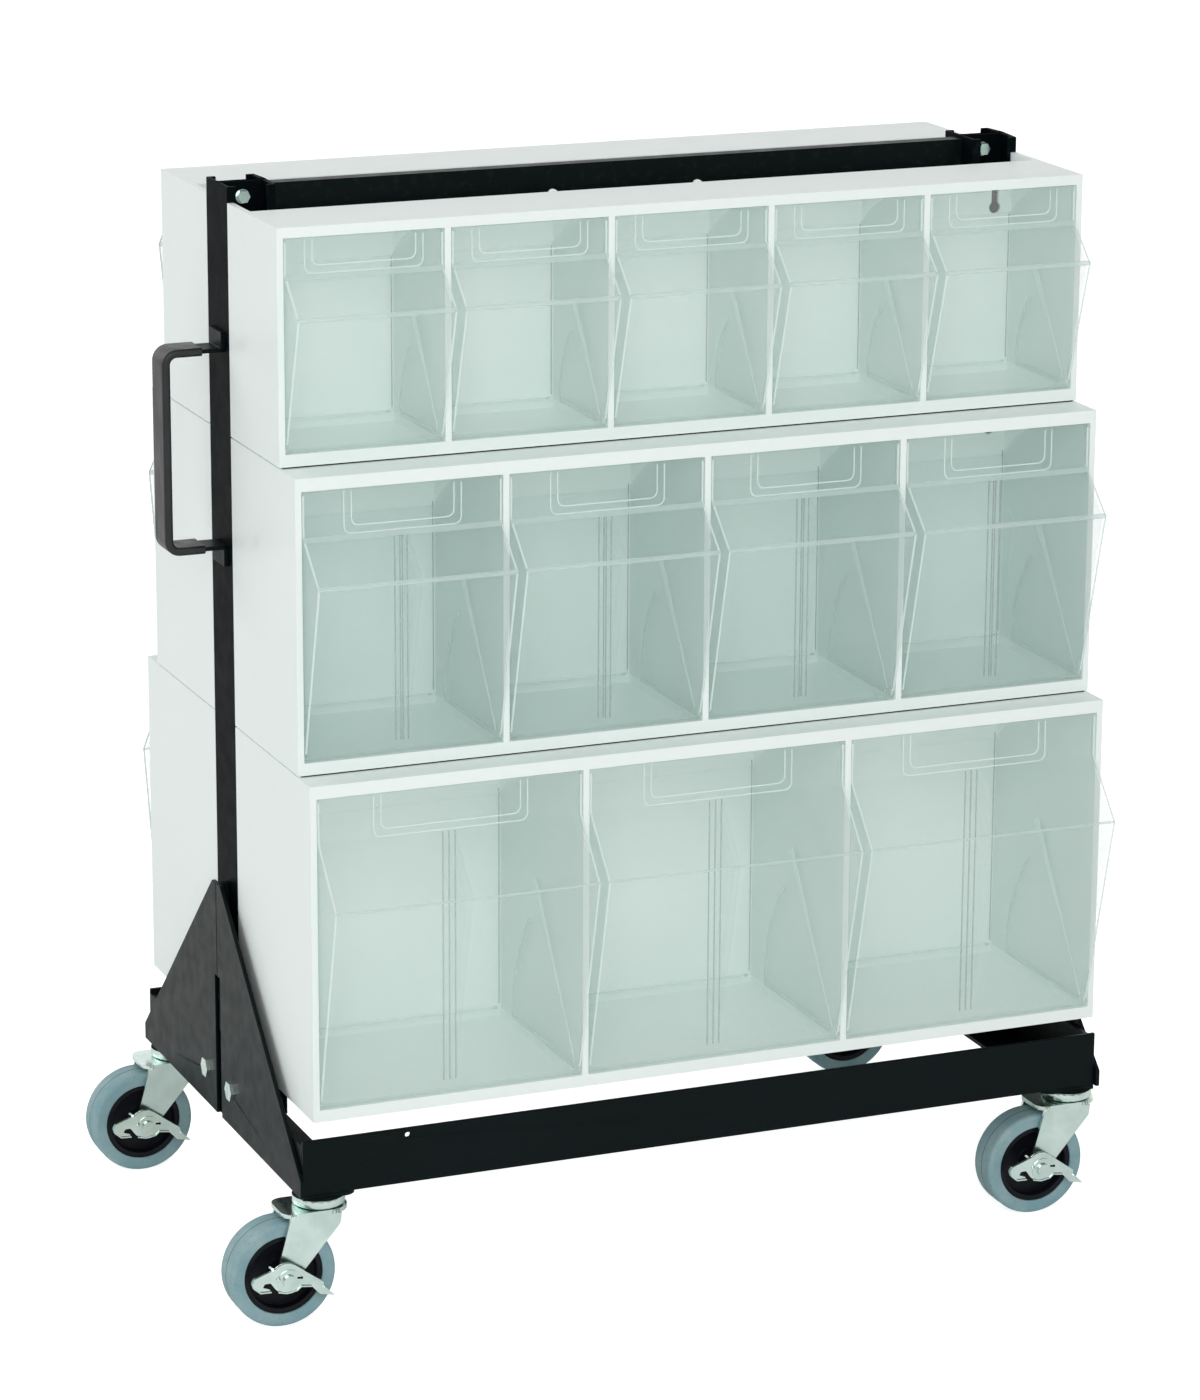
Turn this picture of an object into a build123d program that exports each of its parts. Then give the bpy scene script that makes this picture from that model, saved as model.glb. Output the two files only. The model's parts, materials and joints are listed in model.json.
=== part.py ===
from build123d import *

import os
from collections import namedtuple

# Two-sided mobile cart. Six cabinets of clear tip-out bins hang on two uprights, three on each side,
# and a black frame on four braked swivel casters carries them. Millimetres, +Z up. The origin is on
# the floor, at the middle of the overall length and depth. X runs along the cabinets, -Y is the front.

# ---------------------------------------------------------------- casters
wheel_r = 38.1
wheel_width = 25.0
hub_r = 28.5
hub_width = 23.0
hub_web = 8.0
hub_barrel_r = 10.0
hub_rim = 4.0
tyre_shoulder = 3.0
axle_r = 3.2
running = 0.05                 # radial clearance of a shaft in its bore
play = 0.3                     # clearance between faces that slide past each other
swivel_inset_x = 15.5          # swivel axes, inside the ends of the base
swivel_inset_y = 13.0          # and inside its front and rear faces
trail = 30.0                   # the wheels stand this far to the left of their swivel axes
leg_gap = 2.5                  # between a wheel's face and a fork leg
fork_plate = 2.5
crown_thick = 3.0
crown_lead = 19.0              # crown in front of the swivel axis
crown_tail = 31.0              # crown behind it
crown_lead_round = 15.0
crown_tail_round = 9.0
leg_top_back = 26.0
leg_top_front = 11.0
leg_knee = (10.0, 35.0)        # the leg's front corner: ahead of the swivel axis, above the axle
leg_eye_r = 7.5
raceway_r = 18.5
raceway_rim = 1.5
raceway_thick = 6.8
kingpin_r = 5.0
kingpin_head_r = 7.0
kingpin_head = 2.5
rivet_head_r = 4.8
rivet_head = 2.2
lever_plate = 2.0
lever_boss_r = 5.5
lever_boss = 4.5
lever_hook = (                 # outline of the hooked arm about the axle, ahead and up
    (-10.5, -4.0), (-13.8, 0.5), (-17.7, 0.4), (-19.0, -1.8), (-14.2, -3.6), (-13.4, -6.0),
    (-21.6, -5.8), (-26.5, -1.5), (-27.5, 2.3), (-25.8, 5.4), (-10.6, 10.8),
)
lever_crest = (-4.0, 14.0)
lever_foot = (
    (3.0, 12.2), (24.8, -3.5), (25.5, -7.5), (33.0, -14.8), (22.4, -12.7), (16.1, -5.9), (8.5, -4.8),
)
lever_belly = (-2.0, -8.6)

# ---------------------------------------------------------------- base frame
base_bottom = 93.8
base_margin = 6.0              # the base reaches this far beyond the ends of the cabinets
base_half_depth = 175.5
rail_height = 40.2
rail_wall = 3.0
rail_flange = 32.0
rail_hole_r = 2.0
rail_hole_inset = 77.0         # from the left end of the rail
rail_hole_drop = 5.0
side_width = 40.0              # flat leg of the side angle
side_leg = 36.7                # its upright leg
side_wall = 3.0
caster_plate = 3.0
caster_plate_length = 44.0
caster_plate_round = 9.0

# ---------------------------------------------------------------- uprights and crossbar
upright_width = 35.0           # its outer face is flush with the ends of the cabinets
channel_depth = 23.0
channel_wall = 2.5
channel_lip = 6.5
upright_rise = 11.0            # above the top cabinets
crossbar_depth = 12.0
crossbar_height = 38.0
crossbar_wall = 2.0
crossbar_drop = 2.0            # below the upright's top

# ---------------------------------------------------------------- gussets
gusset_thick = 3.0
gusset_apex = 175.2            # above the bottom of the base
gusset_apex_width = 9.0
gusset_overhang = 3.5          # in front of the rail
gusset_corner_height = 12.5
gusset_setback = 5.5           # half of the gap between the two plates, below the top of the slot
gusset_slot_low = 52.2         # above the bottom of the base
gusset_slot_high = 105.2
gusset_lip = 3.0

# ---------------------------------------------------------------- fasteners
gusset_bolt_y = 27.5
gusset_bolt_height = 27.7      # above the bottom of the base
gusset_bolt_flats = 13.0
gusset_bolt_head = 2.5
gusset_bolt_r = 4.0
top_bolt_drop = 10.5           # below the upright's top
top_bolt_flats = 8.0
top_bolt_head = 3.5
top_bolt_r = 2.5
top_washer_r = 5.0
washer_thick = 1.2
bolt_clearance = 0.25
bolt_tail = 2.0

# ---------------------------------------------------------------- handle
handle_strap = 3.0
handle_width = 22.0
handle_span = 139.8
handle_reach = 42.0            # from the upright to the middle of the grip
handle_low = 516.0
handle_bend = 8.0
handle_foot = 13.0             # beyond the arm's middle line
handle_foot_width = 27.0
grip_width = 26.0
grip_thick = 6.0
grip_start = 16.0              # bare strap next to the upright
grip_round = 2.4
grip_bore_gap = 0.1

# ---------------------------------------------------------------- cabinets
cabinet_length = 600.0
cabinet_wall = 2.5
divider = 4.5
cabinet_floor = 149.4          # underside of the bottom cabinets
tier_gap = 1.0
mouth_sill = 8.5
rim_depth = 3.0
pivot_back = 5.0               # bin pivot, behind the cabinet's front
pivot_up = 13.0                # and above its underside
keyhole_drop = 39.0
keyhole_r = 4.5
keyhole_neck = 5.5
keyhole_rise = 13.0
foot_length = 40.0
foot_width = 12.0
foot_inset = 30.0
recess_front = 59.0            # the top cabinet's rear recess starts here, from the middle plane
recess_tab_x = (-62.0, 48.0)
recess_tab_width = 7.0
recess_tab_drop = 4.6          # below the cabinet's top

# ---------------------------------------------------------------- bins
bin_wall = 2.0
bin_side_gap = 0.8
bin_back_gap = 1.5
bin_top_gap = 1.0
heel_r = 4.0                   # the bin's bottom front edge, round about its pivot
peg_r = 2.5
socket_clearance = 0.06
peg_reach = 2.0                # into the divider
socket_skin = 1.5              # left in the cabinet's end walls

# ---------------------------------------------------------------- tiers, from the bottom one up
tier_names = ("bottom", "middle", "top")
bin_counts = (3, 4, 5)
tier_depths = (159.2, 135.2, 103.7)
tier_heights = (240.0, 206.0, 162.5)
header_heights = (9.0, 9.0, 7.0)        # the cabinet's strip above the mouth
shelf_drops = (41.0, 41.0, 32.5)        # ledge of the bin's front, below the cabinet's top
nose_heights = (159.0, 136.0, 104.0)    # nose of the bin's front, above the cabinet's underside
nose_reaches = (34.0, 30.0, 26.0)       # and in front of the cabinet
recess_depths = (0.0, 0.0, 10.0)        # the rear part of the cabinet's top is lowered by this

# ---------------------------------------------------------------- worked out from the sizes above
# The wheels trail to the left and reach further than the bolt heads on the right gusset, so the cart's
# own middle stands a little to the right of the origin.
upright_outer_x = cabinet_length / 2
upright_inner_x = upright_outer_x - upright_width
upright_x = upright_outer_x - upright_width / 2
base_half_length = cabinet_length / 2 + base_margin
swivel_x = base_half_length - swivel_inset_x
swivel_y = base_half_depth - swivel_inset_y
reach_left = swivel_x + trail + wheel_r
reach_right = base_half_length + gusset_thick + gusset_bolt_head
cart_x = (reach_left - reach_right) / 2
side_seat = base_bottom + side_wall
side_top = base_bottom + side_leg
rail_top = base_bottom + rail_height
Tier = namedtuple("Tier", "name bins depth height header shelf_drop nose nose_out recess")
TIERS = [
    Tier(*sizes)
    for sizes in zip(
        tier_names,
        bin_counts,
        tier_depths,
        tier_heights,
        header_heights,
        shelf_drops,
        nose_heights,
        nose_reaches,
        recess_depths,
    )
]
bottoms = [cabinet_floor]
for tier in TIERS[:-1]:
    bottoms.append(bottoms[-1] + tier.height + tier_gap)
cabinet_top = bottoms[-1] + TIERS[-1].height
upright_top = cabinet_top + upright_rise
fork_half = wheel_width / 2 + leg_gap + fork_plate
plate_bottom = base_bottom - caster_plate
crown_top = plate_bottom - raceway_thick - play

FRONT, REAR = -1, 1
LEFT, RIGHT = -1, 1
SIDE_NAMES = {LEFT: "left", RIGHT: "right"}
FACE_NAMES = {FRONT: "front", REAR: "rear"}


def level(z, x=0.0, y=0.0):
    """Horizontal plane at height z, centred on the cart or on a point of it."""
    return Plane.XY.offset(z).move(Location((cart_x + x, y, 0)))


def across(facing, along=0.0, out=0.0, up=0.0):
    """Upright plane across the cabinets: local x runs out of that side of the cart, local y up.

    along is measured to the right of someone who faces that side.
    """
    return Plane(
        origin=(cart_x - facing * along, facing * out, up),
        x_dir=(0, facing, 0),
        z_dir=(facing, 0, 0),
    )


def facing_plane(facing, out, x=0.0, up=0.0):
    """Upright plane parallel to the cabinet fronts: local x runs to the right, local y up, normal outward."""
    return Plane(origin=(cart_x - facing * x, facing * out, up), x_dir=(-facing, 0, 0), z_dir=(0, facing, 0))


def save(solids, name):
    """Write one piece, or a group of separate pieces that share a node."""
    node = solids[0] if len(solids) == 1 else Compound(children=solids)
    node.label = name
    export_step(node, f"parts/{name}.step")


# ---------------------------------------------------------------- uprights, crossbar
def make_channel(side, facing):
    """One lipped channel, its web on the cart's middle plane and its slot open outwards."""
    with BuildPart() as channel:
        with BuildSketch(level(side_seat, side * upright_x)):
            with Locations((0, facing * channel_depth / 2)):
                Rectangle(upright_width, channel_depth)
                Rectangle(
                    upright_width - 2 * channel_wall,
                    channel_depth - 2 * channel_wall,
                    mode=Mode.SUBTRACT,
                )
            with Locations((0, facing * (channel_depth - channel_wall / 2))):
                Rectangle(upright_width - 2 * channel_lip, channel_wall, mode=Mode.SUBTRACT)
        extrude(amount=upright_top - side_seat)
        with BuildSketch(facing_plane(facing, 0, -facing * side * upright_x)):
            with Locations((0, upright_top - top_bolt_drop)):
                Circle(top_bolt_r + bolt_clearance)
        extrude(amount=channel_wall, mode=Mode.SUBTRACT)
    return channel.part


def make_crossbar():
    """Flat tube between the uprights, just under their tops."""
    with BuildPart() as crossbar:
        with BuildSketch(across(FRONT, up=upright_top - crossbar_drop - crossbar_height / 2)):
            Rectangle(crossbar_depth, crossbar_height)
            Rectangle(
                crossbar_depth - 2 * crossbar_wall,
                crossbar_height - 2 * crossbar_wall,
                mode=Mode.SUBTRACT,
            )
        extrude(amount=upright_inner_x, both=True)
    return crossbar.part


# ---------------------------------------------------------------- base
def make_rail(facing):
    """Front or rear rail: a tall web with a bottom flange between the side members."""
    with BuildPart() as rail:
        with BuildSketch(across(facing)):
            with Locations((base_half_depth - rail_wall / 2, base_bottom + rail_height / 2)):
                Rectangle(rail_wall, rail_height)
        extrude(amount=base_half_length, both=True)
        with BuildSketch(across(facing)):
            with Locations((base_half_depth - rail_flange / 2, base_bottom + rail_wall / 2)):
                Rectangle(rail_flange, rail_wall)
        extrude(amount=base_half_length - side_width, both=True)
        with BuildSketch(facing_plane(facing, base_half_depth)):
            with Locations((rail_hole_inset - base_half_length, rail_top - rail_hole_drop)):
                Circle(rail_hole_r)
        extrude(amount=-rail_wall, mode=Mode.SUBTRACT)
    return rail.part


def make_side_member(side):
    """Angle that joins the two rails: an upright leg at the end of the base, a flat one under the upright."""
    half_depth = base_half_depth - rail_wall
    with BuildPart() as member:
        with BuildSketch(facing_plane(FRONT, 0, side * (base_half_length - side_width / 2))):
            with Locations((0, base_bottom + side_wall / 2)):
                Rectangle(side_width, side_wall)
            with Locations((side * (side_width - side_wall) / 2, base_bottom + side_leg / 2)):
                Rectangle(side_wall, side_leg)
        extrude(amount=half_depth, both=True)
        with BuildSketch(Plane.YZ.offset(cart_x + side * base_half_length)):
            with Locations(*[(y, base_bottom + gusset_bolt_height) for y in (-gusset_bolt_y, gusset_bolt_y)]):
                Circle(gusset_bolt_r + bolt_clearance)
        extrude(amount=-side * side_wall, mode=Mode.SUBTRACT)
    return member.part


def make_caster_plate(side, facing):
    """Plate under one corner of the base, its inner corner rounded."""
    with BuildPart() as plate:
        with BuildSketch(level(plate_bottom, side * (base_half_length - side_width / 2))) as outline:
            with Locations((0, facing * (base_half_depth - caster_plate_length / 2))):
                Rectangle(side_width, caster_plate_length)
            inner = outline.vertices().group_by(Axis.X)[0 if side == RIGHT else -1]
            fillet(inner, radius=caster_plate_round)
        extrude(amount=caster_plate)
    return plate.part


# ---------------------------------------------------------------- gussets
def make_gusset(side, facing):
    """Triangular plate outside one upright. Lips at its inner edge reach the upright, except at the slot."""
    apex = base_bottom + gusset_apex
    slot_low = base_bottom + gusset_slot_low
    slot_high = base_bottom + gusset_slot_high
    corner = facing * (base_half_depth + gusset_overhang)
    inner = facing * gusset_setback
    with BuildPart() as gusset:
        with BuildSketch(Plane.YZ.offset(cart_x + side * base_half_length)):
            with BuildLine():
                Polyline(
                    (inner, base_bottom),
                    (corner, base_bottom),
                    (corner, base_bottom + gusset_corner_height),
                    (facing * gusset_apex_width, apex),
                    (0, apex),
                    (0, slot_high),
                    (inner, slot_high),
                    close=True,
                )
            make_face()
            with Locations((facing * gusset_bolt_y, base_bottom + gusset_bolt_height)):
                Circle(gusset_bolt_r + bolt_clearance, mode=Mode.SUBTRACT)
        extrude(amount=side * gusset_thick)
        with BuildSketch(Plane.YZ.offset(cart_x + side * upright_outer_x)):
            with Locations((inner + facing * gusset_lip / 2, (side_top + slot_low) / 2)):
                Rectangle(gusset_lip, slot_low - side_top)
            with Locations((facing * gusset_lip / 2, (slot_high + apex) / 2)):
                Rectangle(gusset_lip, apex - slot_high)
        extrude(amount=side * base_margin)
    return gusset.part


# ---------------------------------------------------------------- fasteners
def make_bolt(plane, radius, length, flats, head):
    """Hexagon bolt. The plane lies under its head and its normal points outward."""
    with BuildPart() as bolt:
        with BuildSketch(plane):
            RegularPolygon(flats / 2, 6, major_radius=False)
        extrude(amount=head)
        with BuildSketch(plane):
            Circle(radius)
        extrude(amount=-length)
    return bolt.part


def make_washer(plane, outer_r, inner_r):
    """Plain washer lying on the plane."""
    with BuildPart() as washer:
        with BuildSketch(plane):
            Circle(outer_r)
            Circle(inner_r, mode=Mode.SUBTRACT)
        extrude(amount=washer_thick)
    return washer.part


def make_nut(plane, radius, flats, height):
    """Hexagon nut on the same axis as its bolt."""
    with BuildPart() as nut:
        with BuildSketch(plane):
            RegularPolygon(flats / 2, 6, major_radius=False)
            Circle(radius, mode=Mode.SUBTRACT)
        extrude(amount=height)
    return nut.part


def make_fasteners():
    """Bolts through the uprights' webs and bolts that hold the gussets to the base."""
    pieces = []
    for side in (LEFT, RIGHT):
        height = upright_top - top_bolt_drop
        front_web = facing_plane(FRONT, channel_wall, side * upright_x, height)
        rear_web = facing_plane(REAR, channel_wall, -side * upright_x, height)
        length = washer_thick + 2 * channel_wall + top_bolt_head + bolt_tail
        under_head = front_web.offset(washer_thick)
        pieces.append(make_washer(front_web, top_washer_r, top_bolt_r))
        pieces.append(make_bolt(under_head, top_bolt_r, length, top_bolt_flats, top_bolt_head))
        pieces.append(make_nut(rear_web, top_bolt_r, top_bolt_flats, top_bolt_head))
        for facing in (FRONT, REAR):
            face = Plane(
                origin=(
                    cart_x + side * (base_half_length + gusset_thick),
                    facing * gusset_bolt_y,
                    base_bottom + gusset_bolt_height,
                ),
                x_dir=(0, side, 0),
                z_dir=(side, 0, 0),
            )
            length = gusset_thick + side_wall + bolt_tail
            pieces.append(make_bolt(face, gusset_bolt_r, length, gusset_bolt_flats, gusset_bolt_head))
    return pieces


# ---------------------------------------------------------------- handle
def handle_route(start):
    """Points of the handle's middle line from one arm round to the other, as (out, up)."""
    high = handle_low + handle_span
    return (start, high), (handle_reach, high), (handle_reach, handle_low), (start, handle_low)


HANDLE_PLANE = Plane(origin=(cart_x - upright_outer_x, 0, 0), x_dir=(-1, 0, 0), z_dir=(0, 1, 0))


def make_handle_strap():
    """Bent strap with a wider foot at each end, welded to the left upright."""
    with BuildPart() as strap:
        with BuildSketch(HANDLE_PLANE):
            with BuildLine():
                FilletPolyline(*handle_route(0.0), radius=handle_bend)
            trace(line_width=handle_strap)
        extrude(amount=handle_width / 2, both=True)
        with BuildSketch(HANDLE_PLANE):
            with Locations((handle_strap / 2, handle_low + handle_span + handle_foot / 2)):
                Rectangle(handle_strap, handle_foot)
            with Locations((handle_strap / 2, handle_low - handle_foot / 2)):
                Rectangle(handle_strap, handle_foot)
        extrude(amount=handle_foot_width / 2, both=True)
    return strap.part


def make_handle_grip():
    """Sleeve over the middle of the strap."""
    with BuildPart() as grip:
        with BuildLine(HANDLE_PLANE) as route:
            FilletPolyline(*handle_route(grip_start), radius=handle_bend)
        with BuildSketch(Plane(origin=route.line @ 0, z_dir=route.line % 0, x_dir=(0, 1, 0))):
            RectangleRounded(grip_width, grip_thick, grip_round)
            Rectangle(handle_width + 2 * grip_bore_gap, handle_strap + 2 * grip_bore_gap, mode=Mode.SUBTRACT)
        sweep(path=route.line)
    return grip.part


# ---------------------------------------------------------------- cabinets and bins
def mouth_width(tier):
    return (cabinet_length - divider) / tier.bins - divider


def bin_places(tier):
    """Middles of the tier's bins, from left to right for someone who faces them."""
    pitch = (cabinet_length - divider) / tier.bins
    return [(index - (tier.bins - 1) / 2) * pitch for index in range(tier.bins)]


def make_cabinet(tier, bottom, facing):
    """Moulded case with a pocket for each bin, its open side outwards."""
    front = channel_depth + tier.depth
    top = bottom + tier.height
    with BuildPart() as cabinet:
        with BuildSketch(across(facing)):
            with Locations((channel_depth + tier.depth / 2, bottom + tier.height / 2)):
                Rectangle(tier.depth, tier.height)
        extrude(amount=cabinet_length / 2, both=True)
        for along in bin_places(tier):
            with BuildSketch(across(facing, along)):
                low, high = bottom + cabinet_wall, top - cabinet_wall
                back = channel_depth + cabinet_wall
                with Locations(((back + front - rim_depth) / 2, (low + high) / 2)):
                    Rectangle(front - rim_depth - back, high - low)
                sill, header = bottom + mouth_sill, top - tier.header
                with Locations((front - rim_depth, (sill + header) / 2)):
                    Rectangle(2 * rim_depth, header - sill)
            extrude(amount=mouth_width(tier) / 2, both=True, mode=Mode.SUBTRACT)
        with BuildSketch(across(facing, 0, front - pivot_back, bottom + pivot_up)):
            Circle(peg_r + socket_clearance)
        extrude(amount=cabinet_length / 2 - socket_skin, both=True, mode=Mode.SUBTRACT)
        with BuildSketch(facing_plane(facing, channel_depth)):
            for x in (-upright_x, upright_x):
                with Locations((x, top - keyhole_drop)):
                    Circle(keyhole_r)
                with Locations((x, top - keyhole_drop + keyhole_rise / 2)):
                    Rectangle(keyhole_neck, keyhole_rise)
                with Locations((x, top - keyhole_drop + keyhole_rise)):
                    Circle(keyhole_neck / 2)
        extrude(amount=cabinet_wall, mode=Mode.SUBTRACT)
        if tier.recess:
            # the rear of the top is lowered between the end walls, and two tabs rise from the back wall
            sunk_length = cabinet_length - 2 * divider
            middle = (channel_depth + recess_front) / 2
            width = recess_front - channel_depth
            with BuildSketch(across(facing)):
                with Locations((middle, top - tier.recess / 2)):
                    Rectangle(width, tier.recess)
            extrude(amount=sunk_length / 2, both=True, mode=Mode.SUBTRACT)
            with BuildSketch(across(facing)):
                with Locations((middle, top - tier.recess - cabinet_wall / 2)):
                    Rectangle(width, cabinet_wall)
                with Locations((recess_front + cabinet_wall / 2, top - (tier.recess + cabinet_wall) / 2)):
                    Rectangle(cabinet_wall, tier.recess + cabinet_wall)
            extrude(amount=sunk_length / 2, both=True)
            with BuildSketch(facing_plane(facing, channel_depth)):
                for x in recess_tab_x:
                    round_up = tier.recess - recess_tab_drop - recess_tab_width / 2
                    with Locations((x, top - tier.recess)):
                        Rectangle(recess_tab_width, 2 * round_up)
                    with Locations((x, top - tier.recess + round_up)):
                        Circle(recess_tab_width / 2)
            extrude(amount=cabinet_wall)
        if bottom > cabinet_floor:
            # four low feet, on which this cabinet stands on the one below
            reach = cabinet_length / 2 - foot_inset - foot_length / 2
            with BuildSketch(level(bottom - tier_gap, 0, facing * (channel_depth + tier.depth / 2))):
                with GridLocations(2 * reach, tier.depth - 2 * foot_inset, 2, 2):
                    Rectangle(foot_length, foot_width)
            extrude(amount=tier_gap)
    return cabinet.part


def bin_outline(tier, reach):
    """Closed side outline of a bin about its pivot, carried on above the bin's own top."""
    nose_x = pivot_back + tier.nose_out
    nose_y = tier.nose - pivot_up
    shelf_y = tier.height - tier.shelf_drop - pivot_up
    back = tier.depth - cabinet_wall - bin_back_gap - pivot_back
    over = reach + 2 * bin_wall
    Polyline(
        (0, -heel_r), (-back, -heel_r), (-back, over), (heel_r, over),
        (heel_r, shelf_y), (nose_x, nose_y), (heel_r, 0),
    )
    CenterArc((0, 0), heel_r, -90, 90)


def make_bin(tier, bottom, facing, along):
    """Clear bin that tips out about two pegs. Its top edge is an arc about the pivot."""
    reach = tier.height - tier.header - pivot_up - bin_top_gap
    width = mouth_width(tier) - 2 * bin_side_gap
    plane = across(facing, along, channel_depth + tier.depth - pivot_back, bottom + pivot_up)
    with BuildPart() as clear_bin:
        with BuildSketch(plane):
            with BuildLine():
                bin_outline(tier, reach)
            make_face()
            Circle(reach, mode=Mode.INTERSECT)
        extrude(amount=width / 2, both=True)
        with BuildSketch(plane):
            Circle(peg_r)
        extrude(amount=mouth_width(tier) / 2 + peg_reach, both=True)
        with BuildSketch(plane):
            with BuildLine():
                bin_outline(tier, reach)
            make_face()
            offset(amount=-bin_wall, kind=Kind.INTERSECTION)
        extrude(amount=width / 2 - bin_wall, both=True, mode=Mode.SUBTRACT)
    return clear_bin.part


# ---------------------------------------------------------------- casters
def swivel_plane(side, facing, z):
    return level(z, side * swivel_x, facing * swivel_y)


def axle_plane(side, facing, out=0.0):
    """Upright plane square to the axle: local x runs to the cart's right, local y up, normal to the front."""
    return Plane(
        origin=(cart_x + side * swivel_x - trail, facing * swivel_y - out, wheel_r),
        x_dir=(1, 0, 0),
        z_dir=(0, -1, 0),
    )


def make_raceway(side, facing):
    """Fixed raceway cap with the kingpin that carries the fork."""
    with BuildPart() as raceway:
        with BuildSketch(swivel_plane(side, facing, plate_bottom)):
            Circle(raceway_r)
        extrude(amount=-raceway_thick)
        chamfer(raceway.edges().group_by(Axis.Z)[0], length=raceway_rim)
        with BuildSketch(swivel_plane(side, facing, plate_bottom)):
            Circle(kingpin_r)
        extrude(amount=-(raceway_thick + crown_thick + 2 * play))
        with BuildSketch(swivel_plane(side, facing, crown_top - crown_thick - play)):
            Circle(kingpin_head_r)
        extrude(amount=-kingpin_head)
    return raceway.part


def make_fork(side, facing):
    """Stamped fork: a crown on the kingpin, two legs and the axle with its rivet heads."""
    with BuildPart() as fork:
        with BuildSketch(swivel_plane(side, facing, crown_top)) as crown:
            with Locations(((crown_lead - crown_tail) / 2, 0)):
                Rectangle(crown_lead + crown_tail, 2 * fork_half)
            fillet(crown.vertices().group_by(Axis.X)[-1], radius=crown_lead_round)
            fillet(crown.vertices().group_by(Axis.X)[0], radius=crown_tail_round)
            Circle(kingpin_r + running, mode=Mode.SUBTRACT)
        extrude(amount=-crown_thick)
        for out in (fork_half, fork_plate - fork_half):
            with BuildSketch(axle_plane(side, facing, out)):
                with BuildLine():
                    Polyline(
                        (trail - leg_top_back, crown_top - crown_thick - wheel_r),
                        (trail + leg_top_front, crown_top - crown_thick - wheel_r),
                        (trail + leg_knee[0], leg_knee[1]),
                        (0, 0),
                        close=True,
                    )
                make_face()
                Circle(leg_eye_r)
                make_hull()
            extrude(amount=-fork_plate)
        with BuildSketch(axle_plane(side, facing, fork_half + play + lever_boss + lever_plate + play)):
            Circle(axle_r)
        extrude(amount=-(2 * fork_half + lever_boss + lever_plate + 2 * play))
        with BuildSketch(axle_plane(side, facing, fork_half + lever_boss + lever_plate + 2 * play)):
            Circle(rivet_head_r)
        extrude(amount=rivet_head)
        with BuildSketch(axle_plane(side, facing, -fork_half)):
            Circle(rivet_head_r)
        extrude(amount=-rivet_head)
    return fork.part


def make_hub(side, facing):
    """Black wheel centre with a barrel, a web and a rim."""
    with BuildPart() as hub:
        with BuildSketch(axle_plane(side, facing)):
            Circle(hub_r)
        extrude(amount=hub_width / 2, both=True)
        for out in (hub_width / 2, -hub_width / 2):
            with BuildSketch(axle_plane(side, facing, out)):
                Circle(hub_r - hub_rim)
                Circle(hub_barrel_r, mode=Mode.SUBTRACT)
            depth = (hub_width - hub_web) / 2
            extrude(amount=-depth if out > 0 else depth, mode=Mode.SUBTRACT)
        with BuildSketch(axle_plane(side, facing)):
            Circle(hub_barrel_r)
        extrude(amount=wheel_width / 2 + leg_gap - play, both=True)
        with BuildSketch(axle_plane(side, facing)):
            Circle(axle_r + running)
        extrude(amount=wheel_width, both=True, mode=Mode.SUBTRACT)
    return hub.part


def make_tyre(side, facing):
    """Grey rubber tyre round the hub."""
    with BuildPart() as tyre:
        with BuildSketch(axle_plane(side, facing)):
            Circle(wheel_r)
            Circle(hub_r, mode=Mode.SUBTRACT)
        extrude(amount=wheel_width / 2, both=True)
        outer = [edge for edge in tyre.edges().filter_by(GeomType.CIRCLE) if edge.radius > hub_r + running]
        fillet(outer, radius=tyre_shoulder)
    return tyre.part


def make_brake_lever(side, facing):
    """Side-brake lever: a stamped plate with a hooked arm and a pointed foot arm, on a boss."""
    with BuildPart() as lever:
        with BuildSketch(axle_plane(side, facing, fork_half + play + lever_boss)):
            with BuildLine():
                Polyline(*lever_hook)
                ThreePointArc(lever_hook[-1], lever_crest, lever_foot[0])
                Polyline(*lever_foot)
                ThreePointArc(lever_foot[-1], lever_belly, lever_hook[0])
            make_face()
        extrude(amount=lever_plate)
        with BuildSketch(axle_plane(side, facing, fork_half + play)):
            Circle(lever_boss_r)
        extrude(amount=lever_boss)
        with BuildSketch(axle_plane(side, facing, fork_half)):
            Circle(axle_r + running)
        extrude(amount=lever_boss + lever_plate + 2 * play, mode=Mode.SUBTRACT)
    return lever.part


# ---------------------------------------------------------------- write the pieces
os.makedirs("parts", exist_ok=True)

for side in (LEFT, RIGHT):
    hand = SIDE_NAMES[side]
    save([make_channel(side, facing) for facing in (FRONT, REAR)], f"upright_{hand}")
    save([make_gusset(side, facing) for facing in (FRONT, REAR)], f"gusset_{hand}")
    plates = [make_caster_plate(side, facing) for facing in (FRONT, REAR)]
    save([make_side_member(side)] + plates, f"base_side_{hand}")

save([make_crossbar()], "crossbar")
for facing in (FRONT, REAR):
    save([make_rail(facing)], f"base_rail_{FACE_NAMES[facing]}")
save([make_handle_strap()], "handle_strap")
save([make_handle_grip()], "handle_grip")
save(make_fasteners(), "fasteners")

corners = [(side, facing) for facing in (FRONT, REAR) for side in (LEFT, RIGHT)]
save([make_raceway(side, facing) for side, facing in corners], "caster_raceways")
for side, facing in corners:
    corner = f"{FACE_NAMES[facing]}_{SIDE_NAMES[side]}"
    save([make_fork(side, facing)], f"fork_{corner}")
    save([make_hub(side, facing)], f"hub_{corner}")
    save([make_tyre(side, facing)], f"tyre_{corner}")
    save([make_brake_lever(side, facing)], f"brake_lever_{corner}")

for tier, bottom in zip(TIERS, bottoms):
    for facing in (FRONT, REAR):
        face = FACE_NAMES[facing]
        save([make_cabinet(tier, bottom, facing)], f"cabinet_{tier.name}_{face}")
        for number, along in enumerate(bin_places(tier), start=1):
            save([make_bin(tier, bottom, facing, along)], f"bin_{tier.name}_{face}_{number}")
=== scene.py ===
import json
import math

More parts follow.
